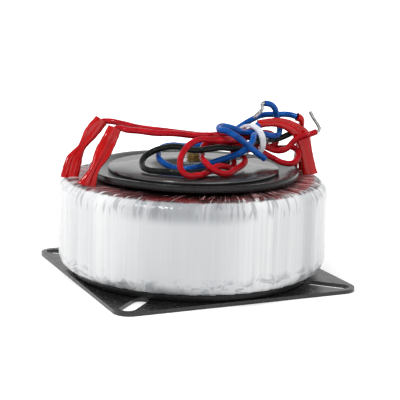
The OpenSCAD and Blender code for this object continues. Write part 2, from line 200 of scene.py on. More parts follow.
path = world_node("ShaderNodeLightPath")
way = world_node("ShaderNodeSeparateXYZ")
overhead = world_node("ShaderNodeMapRange", From_Min=0.25, From_Max=0.75, To_Min=1.0, To_Max=0.3)
shown = world_node("ShaderNodeMath", "MAXIMUM")
seen = world_node("ShaderNodeMath", "MAXIMUM")
level = world_node("ShaderNodeMapRange", To_Min=0.62)
for source, target in (
        (world_node("ShaderNodeTexCoord").outputs["Generated"], way.inputs[0]),
        (way.outputs["Z"], overhead.inputs["Value"]),
        (overhead.outputs[0], shown.inputs[0]),
        (path.outputs["Is Camera Ray"], shown.inputs[1]),
        (path.outputs["Is Camera Ray"], seen.inputs[0]),
        (path.outputs["Is Glossy Ray"], seen.inputs[1]),
        (seen.outputs[0], level.inputs["Value"]),
        (shown.outputs[0], level.inputs["To Max"]),
        (level.outputs[0], sky.inputs["Strength"])):
    world.node_tree.links.new(source, target)


def lamp(name, x, y, z, size, power):
    data = bpy.data.lights.new(name, "AREA")
    data.size = size
    data.energy = power
    item = bpy.data.objects.new(name, data)
    item.location = HARNESS_TURN @ Vector((x, y, z))
    aim = HARNESS_TURN @ Vector((0, 0, 0.02)) - item.location
    item.rotation_euler = aim.to_track_quat("-Z", "Y").to_euler()
    bpy.context.scene.collection.objects.link(item)
    return item


lamp("overhead_softbox", -0.15, -0.1, 0.9, 0.8, 3.3).visible_glossy = False
lamp("front_softbox", 0.5, -0.8, 0.55, 0.6, 1.8)
lamp("key_lamp", -0.3, -0.35, 0.6, 0.12, 1.6)

bpy.context.scene.view_settings.view_transform = "Standard"


# ---- Leads ----
# Five stranded copper leads in PVC, folded back and forth and held by the tie. Their routes
# are the frame's own, in a frame turned about Z, from the sleeve's mouth to the cut end.
LEAD_D = 1.9
STRAND_GAP = 0.1
TIE_MIDDLE = Vector((17.5, 1, 42.4))
TIE_WAY = Vector((math.cos(math.radians(232)), math.sin(math.radians(232)), 0))
TIE_SIDE = Vector((math.cos(math.radians(322)), math.sin(math.radians(322)), 0))
TIE_UP = Vector((0, 0, 1))
RING_STRAND_R = 1.6 * (LEAD_D + STRAND_GAP)
INNER_STRAND_R = 0.6 * (LEAD_D + STRAND_GAP)


def strand(radius, angle, along):
    turn = math.radians(angle)
    return TIE_MIDDLE + radius * (math.cos(turn) * TIE_SIDE + math.sin(turn) * TIE_UP) + along * TIE_WAY


def outer(k, along):
    return strand(RING_STRAND_R, 40 * k, along)


def inner(k, along):
    return strand(INNER_STRAND_R, 20 + 120 * k, along)


def set_down(point):
    """A point of the tied bundle, given in millimetres, in the frame's metres."""
    return HARNESS_TURN @ (Vector(point) * MM)


def plastic(name, colour, dark, roughness, grain=0.01, gloss=0.14, patch=0.35):
    """Soft moulded plastic: two close tones in soft patches, and a fine uneven skin."""
    nodes = Nodes(name)
    patches = nodes.noise(nodes.place(), patch)
    nodes.join(nodes.ramp(patches, (0.3, dark), (0.7, colour)), nodes.shader.inputs["Base Color"])
    nodes.set(Roughness=roughness, Specular_IOR_Level=gloss)
    nodes.bump(nodes.noise(nodes.place(), 1.2), grain)
    return nodes.material


RED_PVC = plastic("red_pvc", linear(184, 18, 32), linear(146, 6, 16), 0.13)
BLUE_PVC = plastic("blue_pvc", linear(16, 88, 170), linear(6, 58, 130), 0.13)
BLACK_PVC = plastic("black_pvc", linear(34, 38, 37), linear(20, 23, 22), 0.16)


def lead(name, route, material, node, inside=()):
    """A round lead on one smooth curve through its route, after any points inside its sleeve."""
    route = [*inside, *route]
    curve = bpy.data.curves.new(name, "CURVE")
    curve.dimensions = "3D"
    curve.bevel_depth = LEAD_D / 2 * MM
    curve.bevel_resolution = 5
    curve.resolution_u = 8
    curve.use_fill_caps = True
    spline = curve.splines.new("BEZIER")
    spline.bezier_points.add(len(route) - 1)
    for bezier, point in zip(spline.bezier_points, route):
        bezier.co = set_down(point)
        bezier.handle_left_type = "AUTO"
        bezier.handle_right_type = "AUTO"
    curve.materials.append(material)
    piece = bpy.data.objects.new(name, curve)
    bpy.context.scene.collection.objects.link(piece)
    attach(piece, "root")
    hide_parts(node)
    return piece


RED_A_ROUTE = [
    (-28, 5, 47), (-22.5, 3.5, 46.5), (-18.5, 1, 46), (-14, -3, 46), (-9, -6, 46),
    (-2.5, -7, 45.5), (3.5, -6.5, 45), (9, -6.5, 45.5), outer(3, 5), outer(3, -3.5), (22, 16, 43),
    (25, 16, 42.5), (26.5, 14, 41), (25.5, 11.5, 39.5), (22, 9, 40), inner(1, -3), inner(1, 4.5),
    (9.5, -14, 45), (5.5, -15, 45), (2, -15, 45), (-1, -17, 44), (-3, -19.5, 42), (-4, -22, 39.5),
    (-3.5, -23.5, 37), (-1.5, -24, 35.5), (1, -23, 35.5), (4, -18, 35.5), (7, -15.5, 37),
    (12, -9, 36), outer(6, 6.5), outer(6, -3), outer(6, -5.5),
]
RED_B_ROUTE = [
    (-22.7, -10, 47.1), (-20.5, -10.5, 46.7), (-16.5, -11, 46.5), (-12, -11, 46), (-6, -11, 46),
    (0.5, -11, 45.5), (5, -10, 45.5), (9.5, -8, 43.5), outer(4, 5), outer(4, -3), (21, 11, 40.5),
    (24, 13.5, 38.5), (28.5, 13, 38.5), (31.5, 8.5, 39.5), (33, 6.5, 38.5), (33, 4.5, 37),
    (31.5, 3, 35.5), (28.5, 2, 35.5), (24.5, 3.5, 37), outer(7, -3), outer(7, 4.5),
    (15.5, -10, 37.5), (12.5, -14.5, 36), (9, -19, 35.5), (5.5, -19.5, 37), (3.5, -17.5, 38.5),
    (2.5, -10.5, 39.5), (2.5, -8, 41), (4.5, -5, 42.5), (8.5, -3, 41.5), (12, -3.5, 41.5),
    inner(2, 3.5), inner(2, -3.5), (28, 5, 39), (32.5, 4.5, 43), (36, 3.5, 44.5),
    (38.5, 3.5, 45.5),
]
BLUE_A_ROUTE = [
    (20, 6, 47), outer(2, -3), outer(2, 3.5), (13, -7, 47), (10.5, -8.5, 48), (8, -10.5, 48.5),
    (7.5, -14.5, 48), (9.5, -17, 48), (12.5, -17.5, 46.5), (16, -14.5, 43.5), (19, -13, 41),
    (21.5, -11.5, 39),
]
BLUE_B_ROUTE = [
    (33, 15, 48.5), (30.5, 16, 49), (26.5, 15.5, 49), (22, 13.5, 49), (18.5, 10.5, 48),
    (15.5, 8.5, 46.5), (11.5, 3.5, 44.5), (6.5, 2.5, 41.5), (1.5, 5.5, 40), (-3, 6, 39.5),
    (-7, 4, 40), (-10.5, 0, 39.5), (-11, -4, 38), (-10, -8, 37), (-7.5, -11, 36),
    (-4.5, -13, 35.5), (0, -13.5, 36), (4, -12, 37), (7.5, -10.5, 38), (11.5, -11, 39.5),
    (15, -10.5, 41), (17.5, -8.5, 43.5), (18.5, -2.5, 45), outer(1, 0), outer(1, -3.5),
    (25, 5.5, 43.5), (27, 9, 44), (27, 11, 46.5), (26, 11, 49.5), (25.5, 10, 51.5), (24, 9, 53),
    (22, 8, 53.5),
]
BLACK_ROUTE = [
    (33, 12, 44.5), (30.5, 10.5, 43.5), (27, 10, 42), (23, 6, 42), outer(0, -2.5), outer(0, 3.5),
    (16, -6, 41), (12, -9, 41.5), (7.5, -11, 42), (3.5, -12, 41.5), (-0.5, -10.5, 41),
    (-5, -8, 41.5), (-10, -5.5, 40.5), (-13.5, -5.5, 39), (-15.5, -8, 37.5), (-15.5, -11.5, 36),
    (-14, -15, 35.5), (-11, -17.5, 35.5), (-7, -18, 35.5), (-3, -19, 35.5), (1, -18, 35.5),
    (5, -13.5, 35.5), (8, -10, 36), (10.5, -8.5, 37.5),
]
red_lead_a = lead("red_lead_a_cord", RED_A_ROUTE, RED_PVC, "red_lead_a",
                  [(-30, 3.9, 45.6), (-29.2, 4.6, 46.8)])
red_lead_b = lead("red_lead_b_cord", RED_B_ROUTE, RED_PVC, "red_lead_b",
                  [(-24.4, -10.9, 45.4), (-23.9, -10.3, 46.8)])
blue_lead_a = lead("blue_lead_a_cord", BLUE_A_ROUTE, BLUE_PVC, "blue_lead_a")
blue_lead_b = lead("blue_lead_b_cord", BLUE_B_ROUTE, BLUE_PVC, "blue_lead_b")
black_lead = lead("black_lead_cord", BLACK_ROUTE, BLACK_PVC, "black_lead")


# ---- Bare ends ----
# Three stripped ends: copper strands twisted and tinned into one stiff bright wire, bent over
# by hand.
SAME_PLACE = 0.002 * MM


def smooth(points, steps):
    """Points of a smooth line through the given ones, with this many steps between them."""
    points = [Vector(p) for p in points]
    ends = [2 * points[0] - points[1]] + points + [2 * points[-1] - points[-2]]
    line = []
    for a, b, c, d in zip(ends, ends[1:], ends[2:], ends[3:]):
        for step in range(steps):
            t = step / steps
            line.append(0.5 * (2 * b + (c - a) * t + (2 * a - 5 * b + 4 * c - d) * t * t
                               + (3 * b - a - 3 * c + d) * t ** 3))
    return line + [points[-1]]


def directions(line):
    """Heading of the line at each of its points."""
    return [(b - a).normalized() for a, b in zip([line[0]] + line[:-1], line[1:] + [line[-1]])]


def finished(bm, name, material, slot, *nodes, sharp=40):
    """Makes the object, smooth but for edges over sharp degrees; it stands for the nodes."""
    bmesh.ops.remove_doubles(bm, verts=bm.verts, dist=SAME_PLACE)
    bmesh.ops.recalc_face_normals(bm, faces=bm.faces)
    for face in bm.faces:
        face.smooth = True
    for edge in bm.edges:
        edge.smooth = not edge.is_manifold or edge.calc_face_angle(0) < math.radians(sharp)
    data = bpy.data.meshes.new(name)
    bm.to_mesh(data)
    bm.free()
    piece = bpy.data.objects.new(name, data)
    data.materials.append(material)
    bpy.context.scene.collection.objects.link(piece)
    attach(piece, "root")
    if nodes:
        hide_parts(*nodes)
    return piece


def loft(bm, rings, caps=True, closed=True):
    """Skin of quads between rings of points with the same count; returns the rows of vertices."""
    rows = [[bm.verts.new(point) for point in ring] for ring in rings]
    count = len(rows[0])
    for low, high in zip(rows, rows[1:]):
        for k in range(count if closed else count - 1):
            bm.faces.new((low[k], low[(k + 1) % count], high[(k + 1) % count], high[k]))
    if caps:
        bm.faces.new(rows[0][::-1])
        bm.faces.new(rows[-1])
    return rows


def tinned_metal():
    """Solder over twisted strands: bright, uneven in tone and a little lumpy."""
    nodes = Nodes("tinned_copper")
    tone = nodes.noise(nodes.place(), 1.4)
    nodes.join(nodes.ramp(tone, (0.3, linear(120, 118, 112)), (0.7, linear(176, 178, 178))),
               nodes.shader.inputs["Base Color"])
    nodes.join(nodes.grey(tone, (0.3, 0.32), (0.7, 0.2)), nodes.shader.inputs["Roughness"])
    nodes.set(Metallic=1.0)
    nodes.bump(nodes.noise(nodes.place(), 3), 0.02)
    return nodes.material


TINNED = tinned_metal()
END_R = 0.52
FLUTE = 0.03
WIRE_R = 0.2
WIRE_SPACING = 0.42


def bare_end(name, points, node):
    """Seven twisted strands under solder: a wire with a fluted round section and a blunt tip."""
    line = smooth(points, 8)
    bm = bmesh.new()
    rings = []
    across = Vector((0.3, 0.5, 1))
    for i, (point, heading) in enumerate(zip(line, directions(line))):
        across = (across - across.dot(heading) * heading).normalized()
        side = heading.cross(across)
        ring = []
        for k in range(24):
            turn = math.radians(15 * k)
            radius = END_R + FLUTE * math.cos(6 * turn + 0.2 * i)
            if i == len(line) - 1:
                radius *= 0.7
            ring.append(set_down(point + radius * (math.cos(turn) * across + math.sin(turn) * side)))
        rings.append(ring)
    loft(bm, rings)
    return finished(bm, name, TINNED, "tinned_copper", node)


red_b_end = bare_end("red_b_bare_end", [(38.5, 3.5, 45.5), (39, 3.5, 45.7), (39.2, 3.5, 46.4),
                     (38.8, 3.5, 47.4), (37.3, 3.5, 49.6), (36, 3.5, 51.8)], "red_b_tip")
blue_b_end = bare_end("blue_b_bare_end", [(22, 8, 53.5), (21.6, 7.8, 53.6), (21.1, 7.6, 53),
                      (21.2, 7.5, 51.6), (19.8, 7.3, 50), (18.6, 7.3, 48.9)], "blue_b_tip")
black_end = bare_end("black_bare_end", [(10.5, -8.5, 37.5), (11.5, -8.1, 38.1), (14, -8, 39.3),
                     (16.5, -8, 40)], "black_tip")


def cut_end(name, route):
    """Seven bare strands that show in the cut face of a lead that wasn't stripped."""
    end, before = set_down(route[-1]), set_down(route[-2])
    heading = (end - before).normalized()
    across = heading.orthogonal().normalized()
    side = heading.cross(across)
    bm = bmesh.new()
    for k in range(7):
        turn = math.radians(60 * k)
        middle = end + WIRE_SPACING * MM * (k > 0) * (math.cos(turn) * across + math.sin(turn) * side)
        rim = [WIRE_R * MM * (math.cos(a) * across + math.sin(a) * side)
               for a in (math.radians(36 * j) for j in range(10))]
        loft(bm, [[middle + reach * MM * heading + point for point in rim] for reach in (-0.3, 0.08)])
    return finished(bm, name, TINNED, "tinned_copper")


blue_a_end = cut_end("blue_a_cut_end", BLUE_A_ROUTE)
red_a_end = cut_end("red_a_cut_end", RED_A_ROUTE)


# ---- Sleeves ----
# Thin red PVC tubes slipped over the leads where they leave the windings, pressed flat and
# creased by the film that holds their feet.
SLEEVE_W = 4.4
SLEEVE_T = 2.2
SLEEVE_WALL = 0.28
MOUTH_STEPS = 7
SLEEVE_RED = plastic("sleeve_red", linear(188, 8, 12), linear(166, 4, 8), 0.14, 0.02, 0.28, 0.15)


def sleeve(name, path, wide, spread, node, fold_at=0.2, depth=0.26):
    """Flattened tube along a path: wide is the way its width points, and spread gives its width
    at each point as a share of a plain one's. A crease this deep runs along it at fold_at, from
    -1 to 1 across its width, and its mouth is open."""
    line = smooth(path, 6)
    width = smooth([(s, 0, 0) for s in spread], 6)
    wide = Vector(wide)
    outside, inside = [], []
    for i, (point, heading, share) in enumerate(zip(line, directions(line), width)):
        across = (wide - wide.dot(heading) * heading).normalized()
        thick = heading.cross(across)
        mouth = max(0, 1 - (len(line) - 1 - i) / MOUTH_STEPS)
        half_w = SLEEVE_W / 2 * share.x * (1 + 0.02 * math.sin(1.7 * i))
        half_t = SLEEVE_T / 2 * (0.92 + 0.3 * mouth)
        fold = depth * (1 - mouth)
        for rings, inset in ((outside, 0), (inside, SLEEVE_WALL)):
            ring = []
            for k in range(32):
                turn = math.radians(11.25 * k)
                x = math.cos(turn)
                y = math.copysign(abs(math.sin(turn)) ** 0.75, math.sin(turn))
                crease = fold * math.exp(-((x - fold_at) / 0.3) ** 2) * (1 if y > 0 else 0.4)
                reach = (half_t - inset) * (1 - crease)
                ring.append(set_down(point + (half_w - inset) * x * across - reach * y * thick))
            rings.append(ring)
    bm = bmesh.new()
    loft(bm, outside + inside[::-1] + outside[:1], caps=False)
    return finished(bm, name, SLEEVE_RED, "sleeve_red", node, sharp=60)


red_a_sleeve = sleeve(
    "red_a_sleeve_tube", [(-38.2, -6.4, 30.6), (-38, -6, 32), (-37, -4, 36), (-35, -1, 39.5),
                          (-32.5, 2, 43.5), (-29.5, 4.5, 47.2)],
    (0.9, 0.1, -0.4), (1.3, 1.25, 1.15, 0.6, 1, 1), "red_a_sleeve", -0.1, 0.35)
red_b_sleeve = sleeve(
    "red_b_sleeve_tube", [(-31.6, -20.6, 30.9), (-31, -20, 32.5), (-29.5, -18, 36),
                          (-27.5, -15, 40), (-25.5, -12, 44), (-24.2, -10.5, 47.1)],
    (0.9, 0.1, -0.4), (1.4, 1.05, 0.7, 1.1, 1.05, 0.97), "red_b_sleeve", 0.45, 0.55)
blue_a_sleeve = sleeve(
    "blue_a_sleeve_tube", [(37.4, 8, 30.8), (37, 8, 32.5), (36, 8, 37), (35, 8, 41), (33, 8, 44.5),
                           (30, 8, 46.5), (26.5, 7.5, 47.5), (23, 6.5, 47.5), (20, 6, 47)],
    (0.7, 0.3, 0.7), (1.2, 1.1, 1, 1, 1, 0.85, 0.7, 0.6, 0.6), "blue_a_sleeve", 0.3, 0.5)
blue_b_sleeve = sleeve(
    "blue_b_sleeve_tube", [(33.3, 20.4, 30.8), (33.5, 20, 32.5), (34, 18.5, 38), (34.5, 17, 44),
                           (34.5, 15.5, 47.5), (33, 15, 48.5)],
    (0, 1, 0.2), (1.2, 1.1, 1, 1, 1, 0.8), "blue_b_sleeve")
black_sleeve = sleeve(
    "black_sleeve_tube", [(36.7, 15.3, 30.8), (36.5, 15, 32.5), (36, 14, 37), (35.5, 13, 41),
                          (34.5, 12.5, 43.5), (33, 12, 44.5)],
    (1, 0, 0.2), (1.2, 1.1, 1, 1, 1, 0.8), "black_sleeve")


# ---- Cable tie ----
# White nylon tie drawn tight round the bundle: a ribbed strap with rounded edges, its square
# head underneath at the back, and the tail cut off short.
def nylon():
    nodes = Nodes("tie_nylon")
    tone = nodes.noise(nodes.place(), 0.8)
    nodes.join(nodes.ramp(tone, (0.3, linear(206, 209, 216)), (0.7, linear(230, 232, 238))),
               nodes.shader.inputs["Base Color"])
    nodes.set(Roughness=0.38, Subsurface_Weight=0.15)
    nodes.shader.inputs["Subsurface Radius"].default_value = (0.001, 0.001, 0.001)
    nodes.bump(nodes.noise(nodes.place(), 4), 0.02)
    return nodes.material


TIE_W = 2.5
TIE_T = 1.0
TIE_HEAD = (3.0, 4.0, 4.0)
TIE_R = RING_STRAND_R + LEAD_D / 2 + 0.2
tie_frame = HARNESS_TURN @ Matrix.Translation(TIE_MIDDLE * MM) @ Matrix(
    (TIE_SIDE, TIE_UP, TIE_SIDE.cross(TIE_UP))).transposed().to_4x4()
RIB_DEPTH = 0.12
RIB_W = 1.2
bm = bmesh.new()
rings = []
for k in range(120):
    turn = math.radians(3 * k)
    top = TIE_R + TIE_T
    rib = top - RIB_DEPTH * (k % 2)
    side, edge = TIE_W / 2, 0.25
    strap = [(TIE_R, edge - side), (TIE_R + edge, -side), (top - edge, -side), (top, edge - side),
             (rib, -RIB_W / 2), (rib, RIB_W / 2), (top, side - edge), (top - edge, side),
             (TIE_R + edge, side), (TIE_R, side - edge)]
    rings.append([tie_frame @ (Vector((r * math.cos(turn), r * math.sin(turn), z)) * MM) for r, z in strap])
loft(bm, rings + rings[:1], caps=False)
bmesh.ops.remove_doubles(bm, verts=bm.verts, dist=SAME_PLACE)
head_turn = Matrix.Rotation(math.radians(225), 4, "Z")
for size, middle in ((TIE_HEAD, TIE_R + 1.5), ((3.0, TIE_T, TIE_W), TIE_R + 4.5)):
    box = bmesh.ops.create_cube(bm, size=MM)["verts"]
    bmesh.ops.scale(bm, verts=box, vec=size)
    edges = list({edge for vert in box for edge in vert.link_edges})
    made = bmesh.ops.bevel(bm, geom=edges, offset=0.3 * MM, segments=2, profile=0.5,
                           affect="EDGES", material=-1)
    box = list({vert for face in made["faces"] for vert in face.verts} | {v for v in box if v.is_valid})
    out = Matrix.Translation((middle * MM, 0, 0))
    bmesh.ops.transform(bm, verts=box, matrix=tie_frame @ head_turn @ out)
cable_tie = finished(bm, "cable_tie_strap", nylon(), "tie_nylon", "cable_tie", sharp=35)


# ---- Windings and core ----
# Bare insulated core, two copper windings and the tape between them. Only the outer winding
# shows, through the film. They keep the frame's own shapes.
def wound_copper():
    """Enamelled wire laid side by side through the ring: a reddish brown gloss, ribbed across."""
    nodes = Nodes("copper_wire")
    place = nodes.place()
    split = nodes.add("ShaderNodeSeparateXYZ")
    nodes.join(place, split.inputs[0])
    around = nodes.maths("ARCTAN2", split.outputs["Y"], split.outputs["X"])
    wire = nodes.maths("SINE", nodes.maths("MULTIPLY", around, 230))
    tone = nodes.noise(place, 0.22, 4, 0.6)
    mixed = nodes.maths("ADD", nodes.maths("MULTIPLY", wire, 0.06), tone)
    nodes.join(nodes.ramp(mixed, (0.38, linear(62, 6, 10)), (0.68, linear(200, 50, 50))),
               nodes.shader.inputs["Base Color"])
    nodes.set(Metallic=0.4, Roughness=0.4)
    nodes.bump(wire, 0.15)
    return nodes.material


COPPER = wound_copper()


def speckled(name, dark, light, roughness, metallic=0.0, scale=0.6, gloss=0.5):
    """Two close tones in small patches, for parts that are seldom seen."""
    nodes = Nodes(name)
    tone = nodes.noise(nodes.place(), scale)
    nodes.join(nodes.ramp(tone, (0.35, dark), (0.65, light)), nodes.shader.inputs["Base Color"])
    nodes.set(Roughness=roughness, Metallic=metallic, Specular_IOR_Level=gloss)
    nodes.bump(nodes.noise(nodes.place(), 3 * scale), 0.03)
    return nodes.material


def coated(node, material):
    """Gives a node of the frame its material, and returns the node."""
    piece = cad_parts[node]
    piece.data.materials.clear()
    piece.data.materials.append(material)
    return piece


TAPE = speckled("tape", linear(196, 190, 168), linear(214, 208, 188), 0.4)
CORE_STEEL = speckled("core_steel", linear(108, 110, 114), linear(140, 142, 146), 0.35, 0.9)
BAND_PAPER = speckled("band_paper", linear(226, 227, 230), linear(238, 239, 241), 0.5)
for node, material in (("core", CORE_STEEL), ("core_tape", TAPE), ("primary_winding", COPPER),
                       ("interlayer_film", TAPE), ("secondary_winding", COPPER),
                       ("printed_band", BAND_PAPER)):
    coated(node, material)


# ---- Film wrap ----
# Clear polyester film wound round the ring with a wide overlap: each turn makes a small step
# along its edge, and where the outside gathers towards the hole it puckers into fine pleats.
RING_R = 42.0
HOLE_R = 14.5
RING_Z = 3.2
RING_TOP = 31.2
EDGE_R = 4.0
FILM_TURNS = 44
FILM_STEP = 0.16
STEP_SHARE = 0.15
FILM_W = 20.0
PUCKER = 0.35
PUCKER_SPREAD = 3.0
# Way round the section in millimetres, from where the film begins to change to where it has
# changed. The side runs from 32 to 52, with an edge rounded over 6 mm below and above it.
UNDERSIDE = (22.0, 27.0)
FOOT = (34.0, 37.5)
SHOULDER = (48.5, 52.0)
PLEATS = (49.5, 52.5)
MILK_EDGE = (56.5, 57.7)
OVER_WINDING = (57.5, 60.0)
# Where the haze of painted sheen on the flanks fades out over the winding.
SHEEN_FADE = (58.0, 72.0)
# Middles of the two rounded edges, where it puckers.
PUCKERED = (29.0, 55.0)
# Degrees round the ring, from where a tone begins to where it is full, at both ends of the
# painted dark reflection on the side that faces the camera and at both sides of the narrow strip of painted
# dark reflection past it.
PAINTED_REFLECTION_SPAN = ((-108, -78), (-38, -64))
PAINTED_REFLECTION_STRIP = ((-19, -14), (-6, -10))
# Middle of the painted dark reflection, where the ring faces the camera; the painted sheen on the flanks
# grows away from it.
PAINTED_REFLECTION_MIDDLE = -75


def ring_outline(arc_steps, flat_steps):
    """Points round the wrapped ring's section from inside the hole, each with its outward way."""
    far, near, low, high = RING_R - EDGE_R, HOLE_R + EDGE_R, RING_Z + EDGE_R, RING_TOP - EDGE_R
    corners = ((near, low, 180), (far, low, 270), (far, high, 0), (near, high, 90))
    points = []
    for i, (r, z, start) in enumerate(corners):
        for k in range(arc_steps + 1):
            turn = math.radians(start + 90 * k / arc_steps)
            way = Vector((math.cos(turn), math.sin(turn)))
            points.append((Vector((r, z)) + EDGE_R * way, way))
        end = points[-1][0]
        begin = Vector(corners[(i + 1) % 4][:2]) + EDGE_R * way
        points += [(end.lerp(begin, k / flat_steps), way) for k in range(1, flat_steps)]
    return points


def clear_film():
    """Layered film: milky where many layers lie over the printed band, clear over the windings
    but for white strokes, partly milky film edges and partly painted glints, and a haze of painted
    sheen on the flanks; crumpled along the foot of the side, with painted shade in the crumples,
    in the pleats and along the shoulder, and painted dark reflection where the side faces the camera.

    U of its UV map counts turns, and V is the way round the section in millimetres."""
    nodes = Nodes("clear_film")
    uv = nodes.add("ShaderNodeUVMap", uv_map="turns").outputs[0]

    def times(first, second):
        return nodes.maths("MULTIPLY", first, second)

    def plus(first, second):
        return nodes.maths("ADD", first, second)

    def streaks(across, along, detail, roughness, distortion=0):
        """Noise on the film, finer across a turn than along it."""
        mapping = nodes.add("ShaderNodeMapping")
        mapping.inputs["Scale"].default_value = (across, along, 1)
        nodes.join(uv, mapping.inputs[0])
        return nodes.noise(mapping.outputs[0], 1.0, detail, roughness, distortion)

    def share(value, begins, full):
        """0 up to where it begins, 1 from where it is full, and a smooth change between."""
        change = nodes.add("ShaderNodeMapRange", interpolation_type="SMOOTHSTEP")
        change.inputs["From Min"].default_value = begins
        change.inputs["From Max"].default_value = full
        nodes.join(value, change.inputs["Value"])
        return change.outputs[0]

    def sector(ends):
        """1 between two directions round the ring, and 0 beyond them."""
        first, second = (share(around, math.radians(begins), math.radians(full)) for begins, full in ends)
        return times(first, second)

    def rest(value):
        return nodes.maths("SUBTRACT", 1.0, value)

    split = nodes.add("ShaderNodeSeparateXYZ")
    nodes.join(uv, split.inputs[0])
    along = split.outputs["Y"]
    xyz = nodes.add("ShaderNodeSeparateXYZ")
    nodes.join(nodes.place(), xyz.inputs[0])
    around = nodes.maths("ARCTAN2", xyz.outputs["Y"], xyz.outputs["X"])
    fine = streaks(7, 0.02, 3, 0.5, 0.2)
    broad = streaks(1.1, 0.012, 2, 0.5)
    spikes = streaks(5, 0.1, 3, 0.5, 0.8)
    crumple = streaks(0.9, 0.25, 4, 0.6, 1.0)
    folds = streaks(3.5, 0.08, 3, 0.6, 0.5)
    ragged = plus(along, times(streaks(2.2, 0.3, 3, 0.6, 0.5), 1.4))

    # How milky it is: all of it up to the band's edge, then only in white strokes, partly milky film edges
    # and partly painted glints, and in a haze of painted sheen on the flanks, faint where the ring faces
    # the camera.
    from_middle = nodes.maths("ABSOLUTE", plus(around, math.radians(-PAINTED_REFLECTION_MIDDLE)))
    sheen_flanks = share(from_middle, math.radians(10), math.radians(60))
    painted_sheen = times(rest(share(ragged, *SHEEN_FADE)), share(spikes, 0.38, 0.62))
    milky_glints_and_sheen = plus(times(share(spikes, 0.58, 0.66), 0.7), 0.02)
    milky_glints_and_sheen = plus(milky_glints_and_sheen, times(times(painted_sheen, sheen_flanks), 0.6))
    milk_glints_and_sheen = nodes.maths("MAXIMUM", rest(share(ragged, *MILK_EDGE)), milky_glints_and_sheen)
    milk_glints_and_sheen = times(milk_glints_and_sheen, share(along, *UNDERSIDE))

    # Its tone: each turn's own, then laid over it one after another: painted dark reflection where the side
    # faces the camera and in a strip past it, painted shade along the shoulder, in the crumples at the foot
    # and in the pleats, and the winding's pink under the milk.
    turn = nodes.add("ShaderNodeTexWhiteNoise", noise_dimensions="1D")
    nodes.join(nodes.maths("FLOOR", split.outputs["X"]), turn.inputs["W"])
    shade = nodes.maths("SUBTRACT", plus(times(fine, 0.7), broad), 0.6)
    shade = plus(shade, times(turn.outputs["Value"], 0.22))
    tone = nodes.mix(shade, linear(208, 210, 212), linear(248, 248, 247))
    painted_reflection = sector(PAINTED_REFLECTION_SPAN)
    foot = rest(share(plus(along, times(broad, 6.0)), *FOOT))
    for where, strength, colour in (
            # Painted dark reflection where the side faces the camera.
            (painted_reflection, 0.75, linear(186, 188, 191)),
            # A narrow strip of painted dark reflection further round.
            (sector(PAINTED_REFLECTION_STRIP), 0.5, linear(168, 171, 176)),
            # Painted shade in grey patches along the shoulder, within the painted dark reflection.
            (times(times(painted_reflection, share(along, *SHOULDER)), share(broad, 0.25, 0.55)), 0.7,
             linear(128, 131, 136)),
            # Painted shade in the crumples along the foot.
            (times(foot, share(crumple, 0.48, 0.6)), 0.6, linear(118, 126, 134)),
            # Painted shade in the pleats at the shoulder.
            (times(share(along, *PLEATS), share(folds, 0.5, 0.4)), 0.5, linear(122, 124, 130)),
            (share(along, *OVER_WINDING), 0.65, linear(214, 120, 122))):
        tone = nodes.mix(times(where, strength), tone, colour)
    nodes.join(tone, nodes.shader.inputs["Base Color"])
    nodes.set(Roughness=0.25, Specular_IOR_Level=0.6)

    height = plus(times(fine, 0.25), times(broad, 0.6))
    nodes.bump(plus(height, times(times(crumple, foot), 0.8)), 0.8, 0.5)
    bumped = nodes.shader.inputs["Normal"].links[0].from_socket
    glint = nodes.add("ShaderNodeBsdfGlossy")
    glint.inputs["Roughness"].default_value = 0.12
    glint.inputs["Color"].default_value = (0.6, 0.6, 0.6, 1)
    fresnel = nodes.add("ShaderNodeFresnel")
    fresnel.inputs["IOR"].default_value = 1.4
    clear = nodes.add("ShaderNodeMixShader")
    both = nodes.add("ShaderNodeMixShader")
    for source, target in (
            (bumped, glint.inputs["Normal"]),
            (bumped, fresnel.inputs["Normal"]),
            (fresnel.outputs[0], clear.inputs[0]),
            (nodes.add("ShaderNodeBsdfTransparent").outputs[0], clear.inputs[1]),
            (glint.outputs[0], clear.inputs[2]),
            (milk_glints_and_sheen, both.inputs[0]),
            (clear.outputs[0], both.inputs[1]),
            (nodes.shader.outputs[0], both.inputs[2]),
            (both.outputs[0], nodes.output.inputs["Surface"])):
        nodes.join(source, target)
    return nodes.material


PARTS = 12
section = ring_outline(8, 10)
lengths = [0]
for (a, _), (b, _) in zip(section, section[1:] + section[:1]):
    lengths.append(lengths[-1] + (b - a).length)
bm = bmesh.new()
uv_layer = bm.loops.layers.uv.new("turns")
columns = []
for column in range(FILM_TURNS * PARTS):
    done = column % PARTS / PARTS
    step = done / STEP_SHARE if done < STEP_SHARE else (1 - done) / (1 - STEP_SHARE)
    row = []
    for (point, way), along in zip(section, lengths):
        slant = math.degrees(math.asin(FILM_W / 2 / point.x))
        angle = math.radians(360 / FILM_TURNS * column / PARTS + slant)
        gather = sum(math.exp(-((along - middle) / PUCKER_SPREAD) ** 2) for middle in PUCKERED)
        pucker = noise.noise(Vector((column * 0.4, along * 0.15, 1))) * PUCKER * gather
        drop = FILM_STEP * step + abs(pucker)
        r, z = point - way * drop
        row.append(bm.verts.new(Vector((r * math.cos(angle), r * math.sin(angle), z)) * MM))
    columns.append(row)
for column, (row, after) in enumerate(zip(columns, columns[1:] + columns[:1])):
    for k in range(len(section)):
        following = (k + 1) % len(section)
        face = bm.faces.new((row[k], after[k], after[following], row[following]))
        corners = ((column, k), (column + 1, k), (column + 1, k + 1), (column, k + 1))
        for loop, (u, v) in zip(face.loops, corners):
            loop[uv_layer].uv = (u / PARTS, lengths[v])
finished(bm, "film_wrap_skin", clear_film(), "clear_film", "film_wrap", sharp=50)


